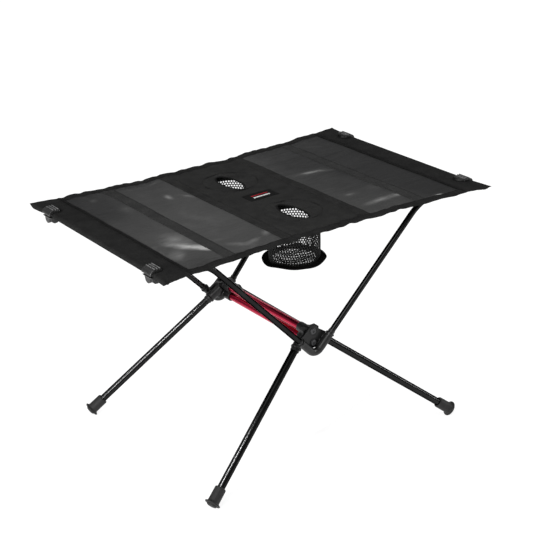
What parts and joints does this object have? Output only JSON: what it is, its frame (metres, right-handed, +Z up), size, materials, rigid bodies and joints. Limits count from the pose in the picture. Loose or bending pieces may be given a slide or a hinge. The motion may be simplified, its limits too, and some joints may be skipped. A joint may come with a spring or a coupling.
{
  "type": "folding camp table",
  "caption": "Low folding camp table: a stretched fabric top with net cup holders on a pole frame of splayed legs, bent arms and moulded hubs.",
  "frame": {"origin": "point on the floor under the middle of the table top", "axes": "+X along the length of the top, +Y from the front edge to the back edge, +Z up"},
  "size_m": [0.5972, 0.4, 0.3956],
  "materials": {
    "anodised_black": "black anodised aluminium tube with a soft sheen",
    "anodised_red": "deep red anodised aluminium tube",
    "black_nylon": "moulded black nylon, fine satin grain",
    "foot_rubber": "black rubber",
    "screw_steel": "blackened steel",
    "cord": "braided elastic cord",
    "rod": "grey anodised rod",
    "woven_black": "matte black woven polyester",
    "coated_fabric": "coated ripstop fabric, dark grey, glossy",
    "trim_tape": "black woven tape",
    "net": "open black net",
    "label_cloth": "small woven label with a plain red mark"
  },
  "bodies": {
    "frame": {"hub_front": "black_nylon", "hub_back": "black_nylon", "yoke_front": "black_nylon", "yoke_back": "black_nylon", "cross_tube_upper": "anodised_red", "cross_tube_lower": "anodised_red", "hub_screws": "screw_steel"},
    "leg_cord_front_left": {"leg_cord_front_left": "cord"},
    "leg_front_left": {"leg_front_left": "anodised_black", "leg_plug_front_left": "black_nylon", "foot_front_left": "foot_rubber"},
    "arm_cord_front_left": {"arm_cord_front_left": "cord"},
    "arm_front_left": {"arm_front_left": "anodised_black", "arm_plug_front_left": "black_nylon", "clip_front_left": "black_nylon"},
    "leg_cord_front_right": {"leg_cord_front_right": "cord"},
    "leg_front_right": {"leg_front_right": "anodised_black", "leg_plug_front_right": "black_nylon", "foot_front_right": "foot_rubber"},
    "arm_cord_front_right": {"arm_cord_front_right": "cord"},
    "arm_front_right": {"arm_front_right": "anodised_black", "arm_plug_front_right": "black_nylon", "clip_front_right": "black_nylon"},
    "leg_cord_back_left": {"leg_cord_back_left": "cord"},
    "leg_back_left": {"leg_back_left": "anodised_black", "leg_plug_back_left": "black_nylon", "foot_back_left": "foot_rubber"},
    "arm_cord_back_left": {"arm_cord_back_left": "cord"},
    "arm_back_left": {"arm_back_left": "anodised_black", "arm_plug_back_left": "black_nylon", "clip_back_left": "black_nylon"},
    "leg_cord_back_right": {"leg_cord_back_right": "cord"},
    "leg_back_right": {"leg_back_right": "anodised_black", "leg_plug_back_right": "black_nylon", "foot_back_right": "foot_rubber"},
    "arm_cord_back_right": {"arm_cord_back_right": "cord"},
    "arm_back_right": {"arm_back_right": "anodised_black", "arm_plug_back_right": "black_nylon", "clip_back_right": "black_nylon"},
    "top": {"end_rod_left": "rod", "end_rod_right": "rod", "end_sleeve_left": "woven_black", "end_sleeve_right": "woven_black", "coated_panel_left": "coated_fabric", "coated_panel_right": "coated_fabric", "centre_panel": "woven_black", "hem_front": "trim_tape", "hem_back": "trim_tape", "cross_band_left": "trim_tape", "cross_band_right": "trim_tape", "border_strip_left": "trim_tape", "border_strip_right": "trim_tape", "label": "label_cloth", "cup_bag_front": "net", "cup_bag_back": "net", "bag_rim_front": "trim_tape", "bag_rim_back": "trim_tape"}
  },
  "joints": [
    {"name": "leg_fold_front_left", "type": "hinge", "parent": "frame", "child": "leg_cord_front_left", "pos_m": [-0.029, -0.1234, 0.178], "axis": [0.5278, 0.3475, -0.775], "range_deg": [0, 80.1], "deforming": ["leg_cord_front_left"]},
    {"name": "leg_draw_front_left", "type": "slide", "parent": "leg_cord_front_left", "child": "leg_front_left", "axis": [-0.7523, -0.2323, -0.6165], "range_m": [0, 0.041]},
    {"name": "arm_fold_front_left", "type": "hinge", "parent": "frame", "child": "arm_cord_front_left", "pos_m": [-0.029, -0.137, 0.193], "axis": [0.484, -0.5459, -0.6839], "range_deg": [0, 149.9], "deforming": ["arm_cord_front_left"]},
    {"name": "arm_draw_front_left", "type": "slide", "parent": "arm_cord_front_left", "child": "arm_front_left", "axis": [-0.6822, -0.0565, 0.729], "range_m": [0, 0.04]},
    {"name": "leg_fold_front_right", "type": "hinge", "parent": "frame", "child": "leg_cord_front_right", "pos_m": [0.029, -0.1234, 0.178], "axis": [0.5278, -0.3475, 0.775], "range_deg": [0, 80.1], "deforming": ["leg_cord_front_right"]},
    {"name": "leg_draw_front_right", "type": "slide", "parent": "leg_cord_front_right", "child": "leg_front_right", "axis": [0.7523, -0.2323, -0.6165], "range_m": [0, 0.041]},
    {"name": "arm_fold_front_right", "type": "hinge", "parent": "frame", "child": "arm_cord_front_right", "pos_m": [0.029, -0.137, 0.193], "axis": [0.484, 0.5459, 0.6839], "range_deg": [0, 149.9], "deforming": ["arm_cord_front_right"]},
    {"name": "arm_draw_front_right", "type": "slide", "parent": "arm_cord_front_right", "child": "arm_front_right", "axis": [0.6822, -0.0565, 0.729], "range_m": [0, 0.04]},
    {"name": "leg_fold_back_left", "type": "hinge", "parent": "frame", "child": "leg_cord_back_left", "pos_m": [-0.029, 0.1234, 0.178], "axis": [-0.6511, -0.1195, 0.7496], "range_deg": [0, 76], "deforming": ["leg_cord_back_left"]},
    {"name": "leg_draw_back_left", "type": "slide", "parent": "leg_cord_back_left", "child": "leg_back_left", "axis": [-0.7523, 0.2323, -0.6165], "range_m": [0, 0.041]},
    {"name": "arm_fold_back_left", "type": "hinge", "parent": "frame", "child": "arm_cord_back_left", "pos_m": [-0.029, 0.137, 0.193], "axis": [-0.2705, -0.4809, 0.834], "range_deg": [0, 116], "deforming": ["arm_cord_back_left"]},
    {"name": "arm_draw_back_left", "type": "slide", "parent": "arm_cord_back_left", "child": "arm_back_left", "axis": [-0.6822, 0.0565, 0.729], "range_m": [0, 0.04]},
    {"name": "leg_fold_back_right", "type": "hinge", "parent": "frame", "child": "leg_cord_back_right", "pos_m": [0.029, 0.1234, 0.178], "axis": [-0.6511, 0.1195, -0.7496], "range_deg": [0, 76], "deforming": ["leg_cord_back_right"]},
    {"name": "leg_draw_back_right", "type": "slide", "parent": "leg_cord_back_right", "child": "leg_back_right", "axis": [0.7523, 0.2323, -0.6165], "range_m": [0, 0.041]},
    {"name": "arm_fold_back_right", "type": "hinge", "parent": "frame", "child": "arm_cord_back_right", "pos_m": [0.029, 0.137, 0.193], "axis": [-0.2705, 0.4809, -0.834], "range_deg": [0, 116], "deforming": ["arm_cord_back_right"]},
    {"name": "arm_draw_back_right", "type": "slide", "parent": "arm_cord_back_right", "child": "arm_back_right", "axis": [0.6822, 0.0565, 0.729], "range_m": [0, 0.04]},
    {"name": "top_lift", "type": "slide", "parent": "frame", "child": "top", "axis": [0, 0, 1], "range_m": [0, 0.2]}
  ],
  "couplings": [
    {"joint": "leg_draw_front_left", "follows": "leg_fold_front_left", "m_per_rad": 0.029324},
    {"joint": "arm_draw_front_left", "follows": "arm_fold_front_left", "m_per_rad": 0.015288},
    {"joint": "leg_draw_front_right", "follows": "leg_fold_front_right", "m_per_rad": 0.029324},
    {"joint": "arm_draw_front_right", "follows": "arm_fold_front_right", "m_per_rad": 0.015288},
    {"joint": "leg_draw_back_left", "follows": "leg_fold_back_left", "m_per_rad": 0.030906},
    {"joint": "arm_draw_back_left", "follows": "arm_fold_back_left", "m_per_rad": 0.019755},
    {"joint": "leg_draw_back_right", "follows": "leg_fold_back_right", "m_per_rad": 0.030906},
    {"joint": "arm_draw_back_right", "follows": "arm_fold_back_right", "m_per_rad": 0.019755}
  ]
}
